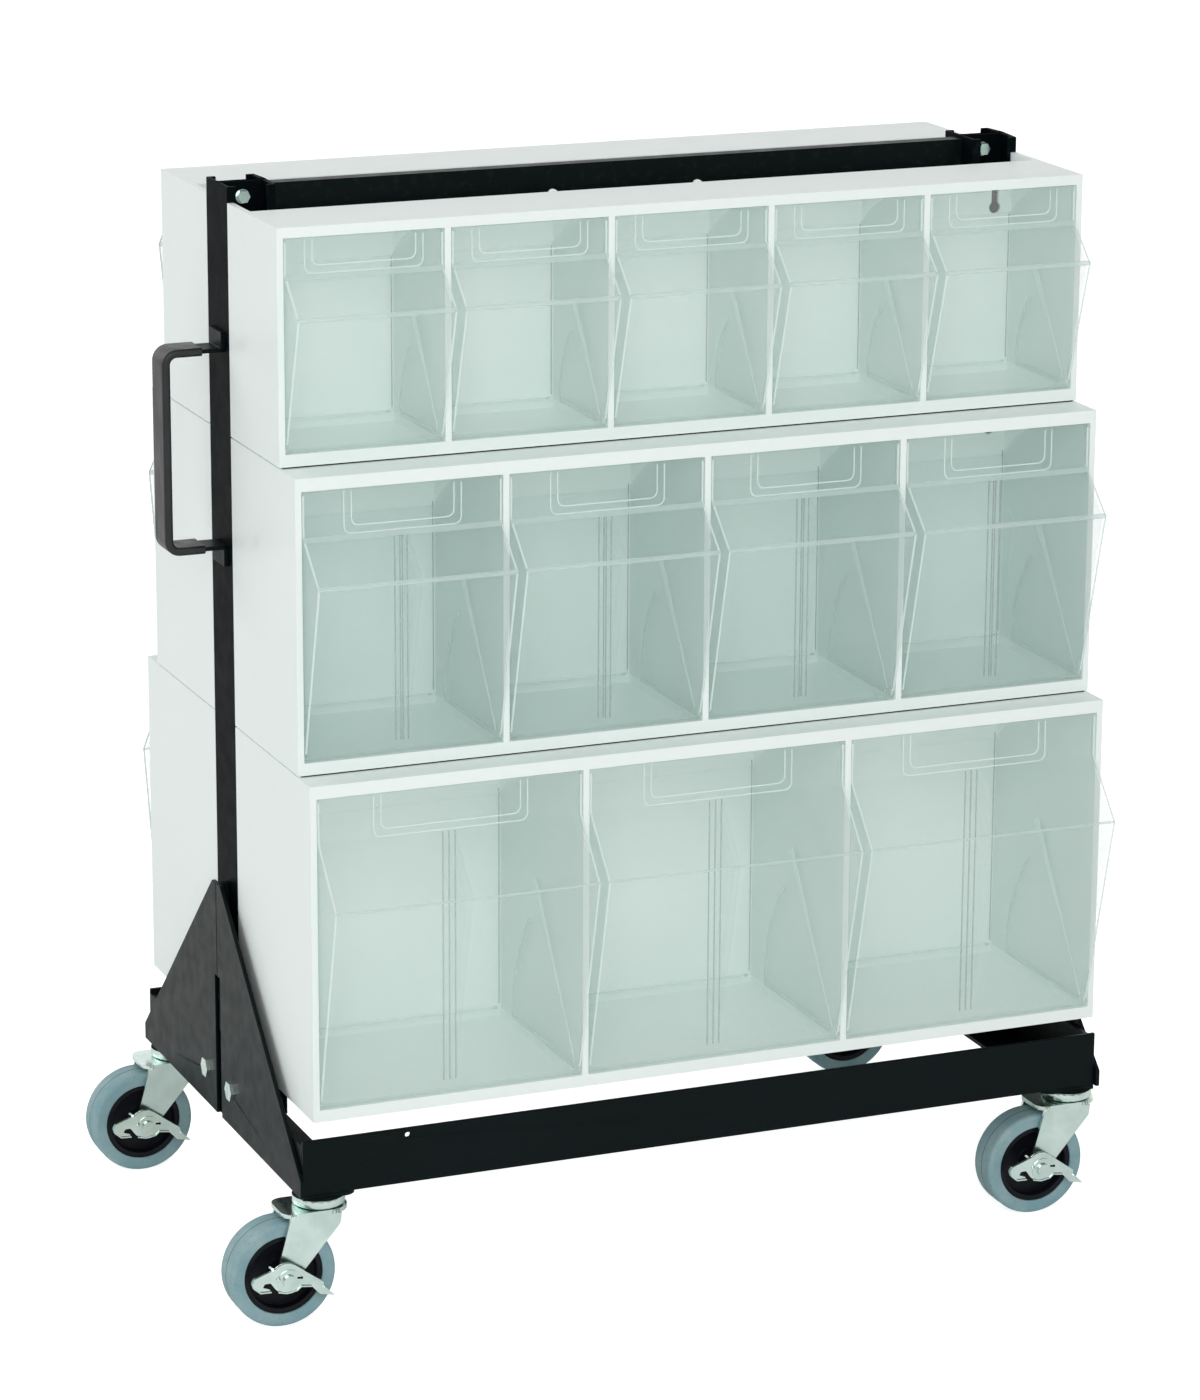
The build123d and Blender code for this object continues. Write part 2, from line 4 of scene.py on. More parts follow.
import bmesh
import bpy
from mathutils import Matrix, Vector


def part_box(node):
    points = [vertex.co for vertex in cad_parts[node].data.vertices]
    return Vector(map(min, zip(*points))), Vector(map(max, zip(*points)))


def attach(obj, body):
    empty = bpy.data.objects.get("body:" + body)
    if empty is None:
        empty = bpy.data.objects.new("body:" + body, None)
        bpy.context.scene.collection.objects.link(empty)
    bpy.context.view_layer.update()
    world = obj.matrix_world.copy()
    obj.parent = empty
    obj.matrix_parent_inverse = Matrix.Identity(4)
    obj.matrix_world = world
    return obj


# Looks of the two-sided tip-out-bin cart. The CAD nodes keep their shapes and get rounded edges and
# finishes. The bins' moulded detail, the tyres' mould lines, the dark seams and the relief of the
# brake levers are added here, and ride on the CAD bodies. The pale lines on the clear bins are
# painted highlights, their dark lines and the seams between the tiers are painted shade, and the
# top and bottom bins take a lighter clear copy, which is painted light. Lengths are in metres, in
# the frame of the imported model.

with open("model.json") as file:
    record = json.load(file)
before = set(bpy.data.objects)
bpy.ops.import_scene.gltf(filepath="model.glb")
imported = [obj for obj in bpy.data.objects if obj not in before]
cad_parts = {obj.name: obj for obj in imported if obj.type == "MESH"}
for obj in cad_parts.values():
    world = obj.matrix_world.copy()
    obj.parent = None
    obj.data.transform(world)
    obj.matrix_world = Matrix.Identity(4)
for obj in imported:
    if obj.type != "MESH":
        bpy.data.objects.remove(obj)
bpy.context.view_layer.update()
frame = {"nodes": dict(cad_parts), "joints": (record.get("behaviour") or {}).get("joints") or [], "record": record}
nodes = frame["nodes"]
joints = {joint["name"]: joint for joint in frame["joints"]}

MM = 0.001
UP = Vector((0, 0, 1))


# ---------------------------------------------------------------- camera
PHOTO_HEIGHT = 1400
FOCAL_PIXELS = 4989.7
CAMERA_PLACE = Vector((-1.31997, -3.22525, 1.35042))
CAMERA_AZIMUTH = math.radians(-22.395)
CAMERA_ELEVATION = math.radians(15.639)
CAMERA_ROLL = math.radians(0.273)
CAMERA_FAR = 50.0
SENSOR = 36.0                  # in millimetres, as Blender takes it


def make_camera():
    """Camera at the photograph's viewing angle, fitted to the cart without a lens shift."""
    azimuth, elevation, roll = CAMERA_AZIMUTH, CAMERA_ELEVATION, CAMERA_ROLL
    back = Vector((
        math.sin(azimuth) * math.cos(elevation),
        -math.cos(azimuth) * math.cos(elevation),
        math.sin(elevation),
    ))
    level = UP.cross(back).normalized()
    upright = back.cross(level)
    right = math.cos(roll) * level + math.sin(roll) * upright
    top = -math.sin(roll) * level + math.cos(roll) * upright
    data = bpy.data.cameras.new("camera")
    data.sensor_width = SENSOR
    data.lens = FOCAL_PIXELS * SENSOR / PHOTO_HEIGHT
    data.clip_end = CAMERA_FAR
    camera = bpy.data.objects.new("camera", data)
    turn = Matrix((right, top, back)).transposed().to_4x4()
    camera.matrix_world = Matrix.Translation(CAMERA_PLACE) @ turn
    bpy.context.scene.collection.objects.link(camera)
    bpy.context.scene.camera = camera


# ---------------------------------------------------------------- material helpers
COLOUR_FIRST, COLOUR_SECOND, COLOUR_RESULT = 6, 7, 2    # colour sockets of Blender's Mix node
NOISE_DETAIL = 3.0


class NodeGraph:
    """A node tree under construction."""

    def __init__(self, tree):
        self.tree = tree

    def node(self, kind, **settings):
        made = self.tree.nodes.new(kind)
        for key, value in settings.items():
            setattr(made, key, value)
        return made

    def link(self, output, target):
        self.tree.links.new(output, target)

    def feed(self, target, value):
        """Links a socket to the target, or sets a number or colour on it."""
        if isinstance(value, bpy.types.NodeSocket):
            self.link(value, target)
        else:
            target.default_value = value

    def remap(self, value, low, high, to_low=0.0, to_high=1.0):
        """Clamped linear remap of a value."""
        made = self.node("ShaderNodeMapRange")
        self.feed(made.inputs["Value"], value)
        self.feed(made.inputs["From Min"], low)
        self.feed(made.inputs["From Max"], high)
        self.feed(made.inputs["To Min"], to_low)
        self.feed(made.inputs["To Max"], to_high)
        return made.outputs["Result"]

    def maths(self, operation, first, second):
        """Clamped sum, product or maximum of two values."""
        made = self.node("ShaderNodeMath", operation=operation, use_clamp=True)
        self.feed(made.inputs[0], first)
        self.feed(made.inputs[1], second)
        return made.outputs["Value"]

    def blend(self, factor, first, second):
        """Mixes two numbers."""
        made = self.node("ShaderNodeMix")
        self.feed(made.inputs["Factor"], factor)
        self.feed(made.inputs["A"], first)
        self.feed(made.inputs["B"], second)
        return made.outputs["Result"]

    def along(self, coordinates, axis):
        """One component of a kind of texture coordinates."""
        split = self.node("ShaderNodeSeparateXYZ")
        self.link(self.node("ShaderNodeTexCoord").outputs[coordinates], split.inputs["Vector"])
        return split.outputs[axis]


class Shader(NodeGraph):
    """A material under construction."""

    def __init__(self, name):
        self.material = bpy.data.materials.new(name)
        self.material.use_nodes = True
        super().__init__(self.material.node_tree)
        self.surface = self.tree.nodes["Principled BSDF"]

    def set(self, **values):
        """Sets numbers or colours on the surface's own sockets, or links sockets to them."""
        for key, value in values.items():
            self.feed(self.surface.inputs[key.replace("_", " ")], value)

    def mix(self, factor, first, second):
        """Mixes two colours."""
        made = self.node("ShaderNodeMix", data_type="RGBA")
        self.feed(made.inputs["Factor"], factor)
        self.feed(made.inputs[COLOUR_FIRST], first)
        self.feed(made.inputs[COLOUR_SECOND], second)
        return made.outputs[COLOUR_RESULT]

    def noise(self, scale, detail=NOISE_DETAIL, roughness=0.5, stretch=None):
        """Noise over the object's own space, in cells per metre; stretch scales the axes first."""
        texture = self.node("ShaderNodeTexNoise")
        self.feed(texture.inputs["Scale"], scale)
        self.feed(texture.inputs["Detail"], detail)
        self.feed(texture.inputs["Roughness"], roughness)
        coordinates = self.node("ShaderNodeTexCoord").outputs["Object"]
        if stretch:
            mapping = self.node("ShaderNodeMapping")
            self.feed(mapping.inputs["Scale"], stretch)
            self.link(coordinates, mapping.inputs["Vector"])
            coordinates = mapping.outputs["Vector"]
        self.link(coordinates, texture.inputs["Vector"])
        return texture.outputs["Fac"]

    def patches(self, scale, low, high, least=0.0, most=1.0, **noise):
        """Noise clamped between low and high, and spread from least to most."""
        return self.remap(self.noise(scale, **noise), low, high, least, most)

    def grain(self, scale, depth, strength, detail=NOISE_DETAIL):
        """Bump of fine noise, with its depth in metres."""
        made = self.node("ShaderNodeBump")
        self.feed(made.inputs["Distance"], depth)
        self.feed(made.inputs["Strength"], strength)
        self.link(self.noise(scale, detail), made.inputs["Height"])
        self.link(made.outputs["Normal"], self.surface.inputs["Normal"])

    def edges(self, low, high):
        """About 1 along convex edges, 0 elsewhere."""
        pointed = self.node("ShaderNodeNewGeometry").outputs["Pointiness"]
        return self.remap(pointed, low, high)


def rgb(red, green, blue):
    """Colour as it is seen on screen, 0 to 255, turned into the linear values a shader takes."""
    def linear(value):
        value /= 255
        return value / 12.92 if value <= 0.04045 else ((value + 0.055) / 1.055) ** 2.4
    return (linear(red), linear(green), linear(blue), 1.0)


# ---------------------------------------------------------------- materials
DRAWN = (1.0, 1.0, 0.08)       # scales of the axes that stretch a noise along the height
SCUFFED = (1.0, 1.0, 0.12)
MOULDED = (1.0, 1.0, 0.15)
GRIPPED = (1.0, 1.0, 0.3)
GLANCE_BLEND = 0.35            # how the clear walls turn denser at a glancing angle
GLANCE_RANGE = (0.05, 0.95)
HAZE = 0.02
SCUFF = 0.10                   # roughness that scuffs add
SIDE_FACING = (0.7, 0.95)      # square of the sideways normal over which a wall counts as a side
SIDE_SHADE_DENSITY = 0.07            # extra density of a bin's side walls, painted shade that darkens them


def white_plastic():
    """Satin polystyrene: fine orange peel, faint flow marks and a little handling grime."""
    shader = Shader("white_plastic")
    cloud = shader.patches(scale=6.0, detail=4.0, low=0.35, high=0.7)
    base = shader.mix(cloud, rgb(246, 254, 251), rgb(243, 252, 249))
    grime = shader.patches(scale=38.0, detail=5.0, roughness=0.65, low=0.6, high=0.8, most=0.06)
    streaks = shader.patches(
        scale=55.0, stretch=MOULDED, low=0.3, high=0.7, least=0.32, most=0.46)
    shader.set(
        Base_Color=shader.mix(grime, base, rgb(220, 227, 222)),
        Roughness=streaks, Specular_IOR_Level=0.45)
    shader.grain(scale=900.0, detail=2.0, depth=0.06 * MM, strength=0.5)
    return shader.material


def clear_plastic(name, tint, rim_tint, alpha, rim_alpha, rough, ripple=0.0, side_shade_tint=None):
    """Clear styrene: see-through face on and denser at a glancing angle.

    A side tint darkens the side walls and makes them denser: painted shade.
    """
    shader = Shader(name)
    weight = shader.node("ShaderNodeLayerWeight")
    shader.feed(weight.inputs["Blend"], GLANCE_BLEND)
    glance = weight.outputs["Facing"]
    density = shader.remap(glance, *GLANCE_RANGE, alpha, rim_alpha)
    haze = shader.patches(scale=14.0, detail=4.0, low=0.4, high=0.75, most=HAZE)
    density = shader.maths("ADD", density, haze)
    colour = shader.mix(glance, tint, rim_tint)
    # painted shade: the side walls take a darker tint and more density
    if side_shade_tint:
        across = shader.along("Normal", "X")
        side = shader.remap(shader.maths("MULTIPLY", across, across), *SIDE_FACING)
        colour = shader.mix(side, colour, side_shade_tint)
        density = shader.maths("ADD", density, shader.maths("MULTIPLY", side, SIDE_SHADE_DENSITY))
    scuffs = shader.patches(
        scale=420.0, stretch=SCUFFED, low=0.45, high=0.8, least=rough, most=rough + SCUFF)
    shader.set(Base_Color=colour, Alpha=density, Roughness=scuffs, Specular_IOR_Level=0.8)
    shader.grain(scale=12.0, detail=1.0, depth=0.4 * MM, strength=ripple)
    return shader.material


def dark_joint_and_shade():
    """Dark joint where two painted plates meet, and painted shade in the gap where two cabinets meet."""
    shader = Shader("dark_joint_and_shade")
    shader.set(
        Base_Color=shader.mix(shader.noise(scale=200.0), rgb(4, 5, 7), rgb(9, 11, 14)),
        Roughness=shader.patches(scale=150.0, low=0.3, high=0.7, least=0.7, most=0.9),
        Specular_IOR_Level=0.05)
    shader.grain(scale=400.0, depth=0.02 * MM, strength=0.2)
    return shader.material


def black_paint(name, gloss):
    """Satin black powder coat with a fine pebble, and lighter convex edges: a little bare metal where worn, and a
    painted edge highlight.
    """
    shader = Shader(name)
    cloud = shader.patches(scale=9.0, detail=4.0, low=0.3, high=0.7)
    base = shader.mix(cloud, rgb(7, 12, 15), rgb(11, 17, 20))
    chips = shader.patches(scale=160.0, low=0.55, high=0.7, most=0.3)
    # lighter convex edges in patches: wear, and a painted edge highlight
    wear_and_edge_highlight = shader.maths("MULTIPLY", shader.edges(low=0.54, high=0.64), chips)
    shader.set(
        Base_Color=shader.mix(wear_and_edge_highlight, base, rgb(74, 78, 80)),
        Roughness=shader.patches(scale=70.0, low=0.3, high=0.7, least=0.36, most=0.46),
        Specular_IOR_Level=gloss, Specular_Tint=rgb(214, 250, 238))
    shader.grain(scale=900.0, detail=2.0, depth=0.02 * MM, strength=0.12)
    return shader.material


def black_sleeve():
    """Soft black vinyl of the handle's grip."""
    shader = Shader("black_sleeve")
    cloud = shader.patches(scale=40.0, low=0.4, high=0.7)
    shader.set(
        Base_Color=shader.mix(cloud, rgb(20, 21, 24), rgb(32, 33, 36)),
        Roughness=shader.patches(
            scale=90.0, stretch=GRIPPED, low=0.3, high=0.7, least=0.3, most=0.48))
    shader.grain(scale=700.0, depth=0.08 * MM, strength=0.6)
    return shader.material


def zinc_plate():
    """Bright zinc plate: pale, faintly green and yellow in patches, with drawing marks."""
    shader = Shader("zinc_plate")
    cloud = shader.patches(scale=45.0, detail=5.0, roughness=0.6, low=0.35, high=0.65)
    base = shader.mix(cloud, rgb(222, 238, 232), rgb(200, 220, 213))
    yellow = shader.patches(scale=20.0, detail=2.0, low=0.55, high=0.75, most=0.35)
    marks = shader.patches(
        scale=260.0, stretch=DRAWN, low=0.3, high=0.7, least=0.14, most=0.26)
    shader.set(
        Base_Color=shader.mix(yellow, base, rgb(214, 224, 190)), Metallic=1.0, Roughness=marks)
    shader.grain(scale=300.0, detail=2.0, depth=0.03 * MM, strength=0.15)
    return shader.material


def black_hub():
    """Moulded black polypropylene wheel centre."""
    shader = Shader("black_hub")
    cloud = shader.patches(scale=60.0, low=0.4, high=0.7)
    shader.set(
        Base_Color=shader.mix(cloud, rgb(12, 13, 20), rgb(22, 24, 33)),
        Roughness=shader.patches(scale=120.0, low=0.3, high=0.7, least=0.38, most=0.55),
        Specular_IOR_Level=0.2)
    shader.grain(scale=800.0, depth=0.06 * MM, strength=0.5)
    return shader.material


def tyre_rubber(name, face, dusty):
    """Non-marking rubber with dust worked into it."""
    shader = Shader(name)
    cloud = shader.patches(scale=55.0, detail=5.0, roughness=0.6, low=0.35, high=0.7)
    specks = shader.patches(scale=480.0, low=0.62, high=0.72, most=0.45)
    shader.set(
        Base_Color=shader.mix(specks, shader.mix(cloud, face, dusty), rgb(92, 104, 106)),
        Roughness=shader.patches(scale=150.0, low=0.3, high=0.7, least=0.55, most=0.78))
    shader.grain(scale=650.0, detail=4.0, depth=0.15 * MM, strength=0.6)
    return shader.material


CLEAR = clear_plastic(
    "clear_plastic", rgb(222, 238, 236), rgb(212, 228, 226),
    alpha=0.09, rim_alpha=0.16, rough=0.06, ripple=0.1, side_shade_tint=rgb(206, 223, 220))
# Lighter copy of the clear plastic for the top and bottom bins: painted light that brightens them
CLEAR_PAINTED_LIGHT = clear_plastic(
    "clear_painted_light", rgb(250, 255, 254), rgb(246, 254, 252),
    alpha=0.09, rim_alpha=0.15, rough=0.07, ripple=0.1, side_shade_tint=rgb(222, 236, 233))
# Denser plastic at rounded edges, bead, band, rims and nubs: thicker plastic, with its pale colour a painted
# highlight
CLEAR_EDGE_HIGHLIGHT = clear_plastic(
    "clear_edge_highlight", rgb(226, 241, 238), rgb(204, 222, 218), alpha=0.34, rim_alpha=0.74, rough=0.05)
# Dark lines at the fins' inner ends and at the back corners of the side walls: painted shade
CLEAR_SHADE_LINE = clear_plastic(
    "clear_shade_line", rgb(146, 168, 166), rgb(146, 168, 166), alpha=0.34, rim_alpha=0.56, rough=0.12)
# Near-white ridges, rib and edge lines: the moulded relief, with its pale colour a painted highlight
CLEAR_RIB_HIGHLIGHT = clear_plastic(
    "clear_rib_highlight", rgb(244, 255, 252), rgb(236, 250, 247), alpha=0.55, rim_alpha=0.85, rough=0.08)
CLEAR_WEB = clear_plastic(
    "clear_web", rgb(232, 248, 245), rgb(210, 230, 226), alpha=0.01, rim_alpha=0.06, rough=0.05)
WHITE = white_plastic()
BLACK = black_paint("black_paint", gloss=0.13)
BLACK_DULL = black_paint("black_paint_dull", gloss=0.015)
SLEEVE = black_sleeve()
DARK_JOINT_AND_SHADE = dark_joint_and_shade()
ZINC = zinc_plate()
HUB = black_hub()
TYRE = tyre_rubber("tyre_rubber", rgb(128, 166, 174), rgb(156, 182, 184))
TYRE_DARK = tyre_rubber("tyre_flash", rgb(70, 80, 84), rgb(92, 102, 104))
SLOT_MATERIALS = {             # for the faces, and for the rounded edges where they differ; pale clear edges are a painted highlight
    "white_plastic": (WHITE,),
    "clear_plastic": (CLEAR, CLEAR_EDGE_HIGHLIGHT),
    "black_paint": (BLACK,),
    "black_grip": (SLEEVE,),
    "zinc": (ZINC,),
    "black_hub": (HUB,),
    "grey_rubber": (TYRE,),
}
NAMED_FINISHES = {             # nodes, by the start of their names, that differ from their slot
    # the top and bottom bins take the lighter clear copy, which is painted light
    "bin_bottom": (CLEAR_PAINTED_LIGHT, CLEAR_EDGE_HIGHLIGHT),
    "bin_top": (CLEAR_PAINTED_LIGHT, CLEAR_EDGE_HIGHLIGHT),
    "upright": (BLACK_DULL,),
}
EDGE_ROUND = {
    "white_plastic": 0.7 * MM,
    "clear_plastic": 0.6 * MM,
    "black_paint": 0.6 * MM,
    "black_grip": 0.5 * MM,
    "zinc": 0.45 * MM,
    "black_hub": 0.6 * MM,
    "grey_rubber": 0.4 * MM,
}
ROUND_SEGMENTS = 2
ROUND_ANGLE = math.radians(32)
ROUND_MATERIAL = 1             # place of the rounded edges' material in a finish that has two
WELD_REACH = 0.005 * MM


def finish_of(name, slot):
    """Materials of a CAD node: those that its name asks for, or else its slot's."""
    for start, materials in NAMED_FINISHES.items():
        if name.startswith(start):
            return materials
    return SLOT_MATERIALS[slot]


def dress_cad_nodes():
    """Gives each CAD node its finish and softly rounded edges."""
    slot_of = {part["node"]: part["material_slot"] for part in frame["record"]["subparts"]}
    for name, node in nodes.items():
        slot = slot_of[name]
        finish = finish_of(name, slot)
        node.data.materials.clear()
        for material in finish:
            node.data.materials.append(material)
        weld = node.modifiers.new("weld", "WELD")
        weld.merge_threshold = WELD_REACH
        bevel = node.modifiers.new("round", "BEVEL")
        bevel.width = EDGE_ROUND[slot]
        bevel.segments = ROUND_SEGMENTS
        bevel.limit_method = "ANGLE"
        bevel.angle_limit = ROUND_ANGLE
        bevel.harden_normals = True
        # on clear plastic the rounded edges take the pale edge material, a painted highlight
        if len(finish) > 1:
            bevel.material = ROUND_MATERIAL


# ---------------------------------------------------------------- mesh helpers
def finish_mesh(name, mesh, materials, body):
    """Turns a bmesh into a riding piece with its materials."""
    bmesh.ops.recalc_face_normals(mesh, faces=mesh.faces)
    data = bpy.data.meshes.new(name)
    mesh.to_mesh(data)
    mesh.free()
    for material in materials:
        data.materials.append(material)
    piece = bpy.data.objects.new(name, data)
    bpy.context.scene.collection.objects.link(piece)
    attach(piece, body)


def add_prism(mesh, outline, low, high, place, material=0):
    """Closed prism of an outline of (a, b), from low to high; place maps (a, b, c) to a point."""
    bottom = [mesh.verts.new(place(a, b, low)) for a, b in outline]
    top = [mesh.verts.new(place(a, b, high)) for a, b in outline]
    faces = [mesh.faces.new(bottom), mesh.faces.new(top)]
    count = len(outline)
    for i in range(count):
        after = (i + 1) % count
        faces.append(mesh.faces.new((bottom[i], bottom[after], top[after], top[i])))
    for face in faces:
        face.material_index = material


def add_ball(mesh, centre, radii, around, down):
    """Ball of three radii. Unlike Blender's own, its faces come in the same order each run."""
    wide, deep, high = radii
    foot, crown = (mesh.verts.new(centre + Vector((0, 0, end))) for end in (-high, high))
    rings = []
    for i in range(1, down):
        tilt = math.pi * (i / down - 0.5)
        ring = []
        for k in range(around):
            turn = 2 * math.pi * k / around
            x, y = wide * math.cos(turn), deep * math.sin(turn)
            out = Vector((x * math.cos(tilt), y * math.cos(tilt), high * math.sin(tilt)))
            ring.append(mesh.verts.new(centre + out))
        rings.append(ring)
    for k in range(around):
        after = (k + 1) % around
        mesh.faces.new((foot, rings[0][after], rings[0][k]))
        for lower, upper in zip(rings, rings[1:]):
            mesh.faces.new((lower[k], lower[after], upper[after], upper[k]))
        mesh.faces.new((crown, rings[-1][k], rings[-1][after]))


def make_seam(name, centre, size):
    """Dark bar that rides on the cart: a dark joint, or painted shade in a gap."""
    mesh = bmesh.new()
    shape = Matrix.Translation(centre) @ Matrix.Diagonal((*size, 1.0))
    bmesh.ops.create_cube(mesh, size=1.0, matrix=shape)
    finish_mesh(name, mesh, (DARK_JOINT_AND_SHADE,), "cart")


def arc_points(centre, radius, start, end, steps):
    """Points on an arc, angles in degrees."""
    points = []
    for i in range(steps + 1):
        angle = math.radians(start + (end - start) * i / steps)
        points.append((centre[0] + radius * math.cos(angle), centre[1] + radius * math.sin(angle)))
    return points


def ring_points(centre, radius, sides):
    """Corners of a regular outline."""
    return arc_points(centre, radius, 0, 360 - 360 / sides, sides - 1)


def ribbon(points, width):
    """Outline of a strip of that width along a list of points."""
    left, right = [], []
    for i, (x, y) in enumerate(points):
        before = points[max(i - 1, 0)]
        after = points[min(i + 1, len(points) - 1)]
        along = Vector((after[0] - before[0], after[1] - before[1])).normalized()
        side = Vector((-along.y, along.x)) * width / 2
        left.append((x + side.x, y + side.y))
        right.append((x - side.x, y - side.y))
    return left + right[::-1]


def in_mm(pairs):
    """Pairs of millimetres in metres."""
    return [(a * MM, b * MM) for a, b in pairs]


# ---------------------------------------------------------------- bins
class BinForm:
    """Moulded sizes of one tier's bins, about the pivot: u runs out of the cabinet, v up."""

    def __init__(self, shelf, nose, label_width, bead, banded, fins):
        self.shelf = shelf
        self.nose = nose
        self.label_width = label_width
        self.bead = bead
        self.banded = banded
        self.fins = fins


BIN_FORMS = {
    "top": BinForm(
        shelf=117 * MM, nose=(31 * MM, 91 * MM), label_width=84 * MM, bead=1.5 * MM,
        banded=True, fins=()),
    "middle": BinForm(
        shelf=152 * MM, nose=(35 * MM, 123 * MM), label_width=84 * MM, bead=1.5 * MM,
        banded=True, fins=(-4.5 * MM, -0.8 * MM, 0.8 * MM, 4.5 * MM)),
    "bottom": BinForm(
        shelf=186 * MM, nose=(39 * MM, 146 * MM), label_width=112 * MM, bead=0.8 * MM,
        banded=False, fins=(-4.5 * MM, 0.0, 4.5 * MM)),
}
WALL = 2 * MM
FRONT_U = 4 * MM               # outer face of the bin's upright front wall
FLOOR_V = -4 * MM + WALL       # inner face of its floor
PEG_OUT = 2.8 * MM             # a peg stands this far out of the bin's side
LABEL_BORDER = 5.3 * MM        # between the two ridges of a label pocket
LABEL_PROUD = 0.3 * MM
LABEL_RIDGE = 0.9 * MM
LABEL_ROUND = 5 * MM
LABEL_STEPS = 6
LABEL_LOW = 0.8 * MM           # above the shelf
LABEL_HIGH = 1.5 * MM          # below the bin's top
BAND = 4.5 * MM                # band on the slope, just below the shelf
BAND_PROUD = 0.1 * MM
BAND_THICK = 0.4 * MM
BAND_ENDS = 0.4 * MM
BEAD_SPREAD = 1.15
BEAD_STEPS = 8
BEAD_ENDS = 0.3 * MM
FIN = 0.4 * MM                 # divider fin, with a dark line of painted shade along its inner end
FIN_EDGE = 0.8 * MM
RIB = 7 * MM                   # wedge on the side wall, from the heel to this width at the apex
RIB_HEEL = (-2 * MM, 3 * MM)
RIB_APEX = (-0.36, 0.53)       # in shares of the bin's height
EDGE_PROUD = 0.15 * MM         # pale line along the side wall's front edge, a painted highlight
EDGE_ENDS = 2 * MM
RIM_EDGE = 1.4 * MM
RIM = 3 * MM                   # raised on the side wall: along the floor, and swept up at the back
RIM_PROUD = 0.5 * MM
RIM_REACH = 0.80               # in shares of the bin's depth
RIM_START = -6 * MM
RIM_SWEEP = 43                 # in degrees about the pivot
RIM_STEPS = 14
CORNER_SHADE_LINE = 1.0 * MM
CORNER_REACH = 0.75            # in shares of the bin's height
NUB = 1.6 * MM                 # stacking nub on the floor, near each back corner
NUB_HIGH = 1.2 * MM
NUB_IN = 5 * MM
NUB_SIDES = 12
TRIM_MATERIALS = (CLEAR_EDGE_HIGHLIGHT, CLEAR_SHADE_LINE, CLEAR_WEB, CLEAR_RIB_HIGHLIGHT)
AS_EDGE_HIGHLIGHT, AS_SHADE_LINE, AS_WEB, AS_RIB_HIGHLIGHT = range(len(TRIM_MATERIALS))


